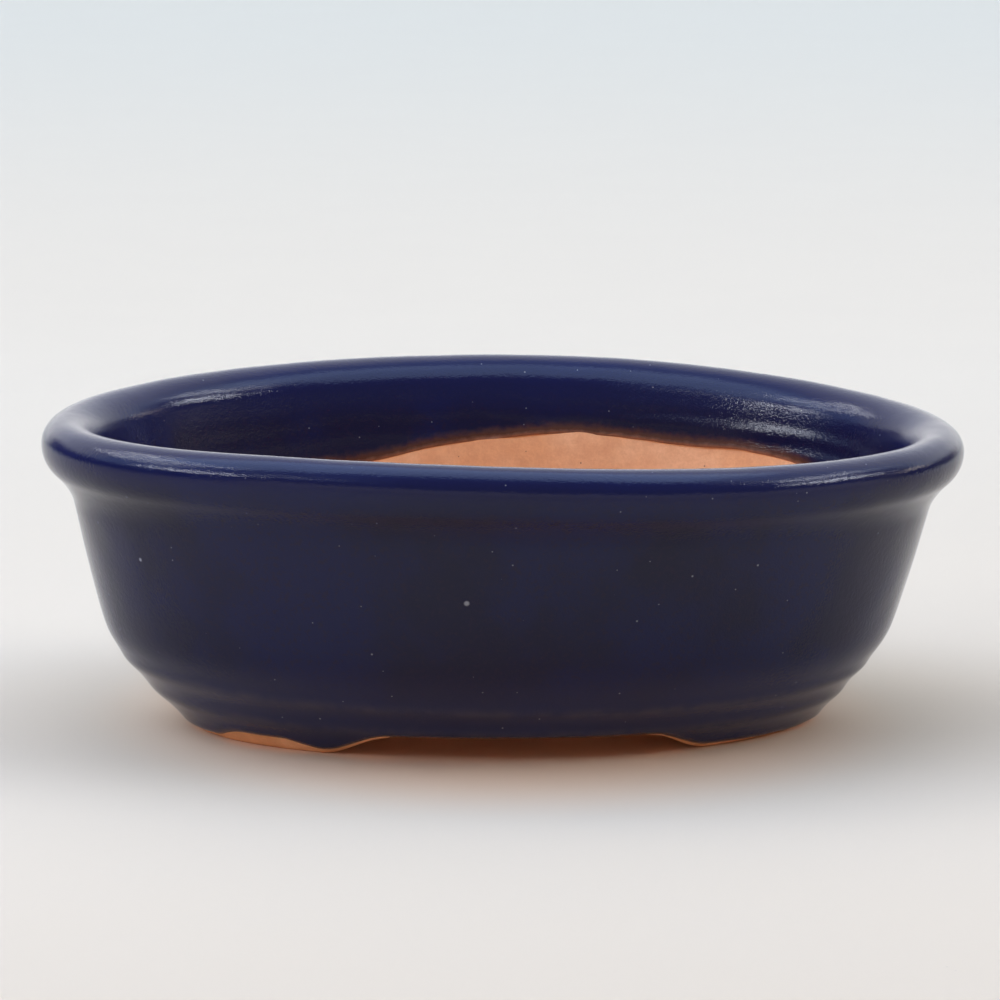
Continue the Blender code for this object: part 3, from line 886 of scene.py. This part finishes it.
def makeTable():
    rings, spokes = table["rings"], table["spokes"]
    mesh = bpy.data.meshes.new("table")
    grid = bmesh.new()
    rows = []
    for i in range(1, rings + 1):
        radius = table["radius"] * (i / rings) ** 2
        ring = [(radius * math.cos(t), radius * math.sin(t), 0) for t in fullTurns(spokes)]
        rows.append([grid.verts.new(point) for point in ring])
    grid.faces.new(rows[0])
    for inner, outer in zip(rows, rows[1:]):
        for k in range(spokes):
            j = (k + 1) % spokes
            grid.faces.new((inner[k], outer[k], outer[j], inner[j]))
    grid.to_mesh(mesh)
    grid.free()
    made = bpy.data.objects.new("table", mesh)
    bpy.context.scene.collection.objects.link(made)
    paint, tree, shader = startMaterial("paper")
    place = addNode(tree, "ShaderNodeTexCoord").outputs["Object"]
    away = addNode(tree, "ShaderNodeSeparateXYZ", {0: place}).outputs["Y"]
    start, middle, end = table["fade"]
    color = mixed(tree, ranged(tree, away, start, middle), table["near"], table["middle"])
    color = mixed(tree, ranged(tree, away, middle, end), color, table["far"])
    cloud = ranged(tree, drift(tree, 40 * mm, 4.0), 0.3, 0.7, 0.0, 0.035)
    color = mixed(tree, cloud, color, table["cloud"])
    # painted bounce light: the paper turns orange close round the pot, reaching less far along its length
    inputs = {0: place, 1: (table["bounceGlowNarrower"], 1.0, 1.0)}
    squeezed = addNode(tree, "ShaderNodeVectorMath", inputs, operation="MULTIPLY").outputs[0]
    near = addNode(tree, "ShaderNodeVectorMath", {0: squeezed}, operation="LENGTH").outputs["Value"]
    color = mixed(tree, ranged(tree, near, *table["bounceGlowReach"]), color, table["warm"])
    color = mixed(tree, specks(tree, *table["dustSpecks"]), color, table["dust"])
    tree.links.new(color, shader.inputs["Base Color"])
    shader.inputs["Roughness"].default_value = table["roughness"]
    shader.inputs["Specular IOR Level"].default_value = table["specular"]
    mesh.materials.append(paint)


# Soft boxes and thin tubes round the table, in degrees: azimuth from the front towards the right.
studio = {
    "dim": (0.23, 0.21, 0.205),
    "boxes": (
        # name, azimuth, half width, low, high, side softness, edge softness, colour
        ("apron", 20, 68, -20, 9, 20, 5, (0.98, 0.91, 0.86)),
        ("frontLeft", -58, 26, 24, 62, 14, 8, (0.42, 0.50, 0.74)),
        ("left", -120, 36, 15, 64, 10, 3, (0.66, 0.88, 1.36)),
        ("right", 134, 20, 12, 66, 12, 6, (1.10, 1.30, 1.58)),
        ("rightUpper", 96, 22, 34, 66, 12, 6, (1.10, 1.26, 1.55)),
        ("back", 180, 52, 10, 66, 18, 8, (1.14, 1.18, 1.24)),
        ("backLow", 178, 28, -20, 14, 10, 8, (1.24, 1.24, 1.24)),
        ("ceilingFront", 10, 100, 58, 91, 30, 10, (0.32, 0.40, 0.60)),
        ("ceilingBack", 190, 110, 62, 91, 30, 10, (0.66, 0.82, 1.16)),
        ("leftDark", -108, 44, -2, 14, 8, 3, (0.09, 0.09, 0.14)),
        ("rightDark", 113, 16, -4, 11, 8, 4, (0.13, 0.13, 0.14)),
        ("tubeHigh", -108, 26, 45.8, 46.5, 12, 0.5, (46, 47, 50)),
        ("tubeMiddle", -112, 18, 36.4, 37.1, 12, 0.5, (40, 41, 44)),
        ("tubeLow", -74, 13, 22.5, 23.7, 5, 0.5, (56, 58, 63)),
        ("tubeNear", -46, 8, 30.8, 31.5, 6, 0.5, (14, 14.5, 15.5)),
        ("tubeRight", 86, 15, 40.6, 41.3, 5, 0.5, (48, 49, 52)),
        ("tubeRightLow", 80, 10, 26.0, 27.2, 5, 0.5, (62, 64, 70)),
        ("spark", 107, 5, 13.5, 15, 3, 1, (11, 9.5, 8)),
    ),
    "softBox": {  # hangs over the pot, a little to the left
        "middle": Vector((-0.05, -0.035, 0.27)),
        "size": (0.42, 0.20),
        "power": 0.50,
        "color": (0.60, 0.80, 1.14),
    },
}


def makeBoxGroup():
    # 1 inside a box of directions, fading over its sides and edges
    labels = (("Azimuth", 0), ("Elevation", 0), ("Middle", 0), ("Half width", 30))
    labels += (("Low", 0), ("High", 30), ("Side softness", 10), ("Edge softness", 5))
    tree, given, result = newGroup("softBox", labels, ("Mask",))
    offset = mathNode(tree, "SUBTRACT", given.outputs["Azimuth"], given.outputs["Middle"])
    turn = mathNode(tree, "ABSOLUTE", mathNode(tree, "WRAP", offset, 180.0, -180.0))
    side = given.outputs["Half width"]
    sideEnd = mathNode(tree, "ADD", side, given.outputs["Side softness"])
    mask = ranged(tree, turn, sideEnd, side)
    half = mathNode(tree, "MULTIPLY", given.outputs["Edge softness"], 0.5)
    halfBelow = mathNode(tree, "MULTIPLY", half, -1.0)
    for edge, sign in (("Low", 1.0), ("High", -1.0)):
        away = mathNode(tree, "SUBTRACT", given.outputs["Elevation"], given.outputs[edge])
        past = mathNode(tree, "MULTIPLY", away, sign)
        mask = mathNode(tree, "MULTIPLY", mask, ranged(tree, past, halfBelow, half))
    tree.links.new(mask, result.inputs[0])
    return tree


def makeLight():
    world = bpy.data.worlds.new("studio")
    bpy.context.scene.world = world
    world.use_nodes = True
    tree = world.node_tree
    direction = addNode(tree, "ShaderNodeTexCoord").outputs["Generated"]
    way = addNode(tree, "ShaderNodeSeparateXYZ", {0: direction})
    degree = 180 / math.pi
    forward = mathNode(tree, "MULTIPLY", way.outputs["Y"], -1.0)
    azimuth = mathNode(tree, "MULTIPLY", mathNode(tree, "ARCTAN2", way.outputs["X"], forward), degree)
    elevation = mathNode(tree, "MULTIPLY", mathNode(tree, "ARCSINE", way.outputs["Z"]), degree)
    boxGroup = makeBoxGroup()
    color = studio["dim"]
    for _, middle, half, low, high, side, edge, shade in studio["boxes"]:
        values = {"Middle": middle, "Half width": half, "Low": low, "High": high}
        values.update({"Side softness": side, "Edge softness": edge})
        box = placed(tree, boxGroup, values)
        tree.links.new(azimuth, box.inputs["Azimuth"])
        tree.links.new(elevation, box.inputs["Elevation"])
        color = mixed(tree, box.outputs["Mask"], color, shade)
    tree.links.new(color, tree.nodes["Background"].inputs["Color"])
    bpy.context.scene.view_settings.view_transform = "Standard"


def makeSoftBox():
    box = studio["softBox"]
    lamp = bpy.data.lights.new("softBox", "AREA")
    lamp.shape, lamp.energy, lamp.color = "RECTANGLE", box["power"], box["color"]
    lamp.size, lamp.size_y = box["size"]
    made = bpy.data.objects.new("softBox", lamp)
    made.location = box["middle"]
    made.visible_camera = False
    bpy.context.scene.collection.objects.link(made)


print("table and light")
makeTable()
makeLight()
makeSoftBox()

view = {
    "azimuth": math.radians(-6.26),
    "elevation": math.radians(10.5),
    "roll": math.radians(0.58),
    "lens": 216,
    "sensor": 36,
    "clip": (0.05, 60),
    "distance": 1.041,
    "target": Vector((0, 0, 25 * mm)),
    "aimAbove": 13.04 * mm,
}


def makeCamera():
    a, e = view["azimuth"], view["elevation"]
    back = Vector((math.sin(a) * math.cos(e), -math.cos(a) * math.cos(e), math.sin(e)))
    up = Vector((-math.sin(a) * math.sin(e), math.cos(a) * math.sin(e), math.cos(e)))
    place = view["target"] + back * view["distance"]
    forward = (view["target"] + up * view["aimAbove"] - place).normalized()
    camera = bpy.data.objects.new("camera", bpy.data.cameras.new("camera"))
    camera.data.lens = view["lens"]
    camera.data.sensor_width = view["sensor"]
    camera.data.clip_start, camera.data.clip_end = view["clip"]
    turn = forward.to_track_quat("-Z", "Y").to_matrix().to_4x4() @ Matrix.Rotation(view["roll"], 4, "Z")
    camera.matrix_world = Matrix.Translation(place) @ turn
    bpy.context.scene.collection.objects.link(camera)
    bpy.context.scene.camera = camera


print("camera")
makeCamera()
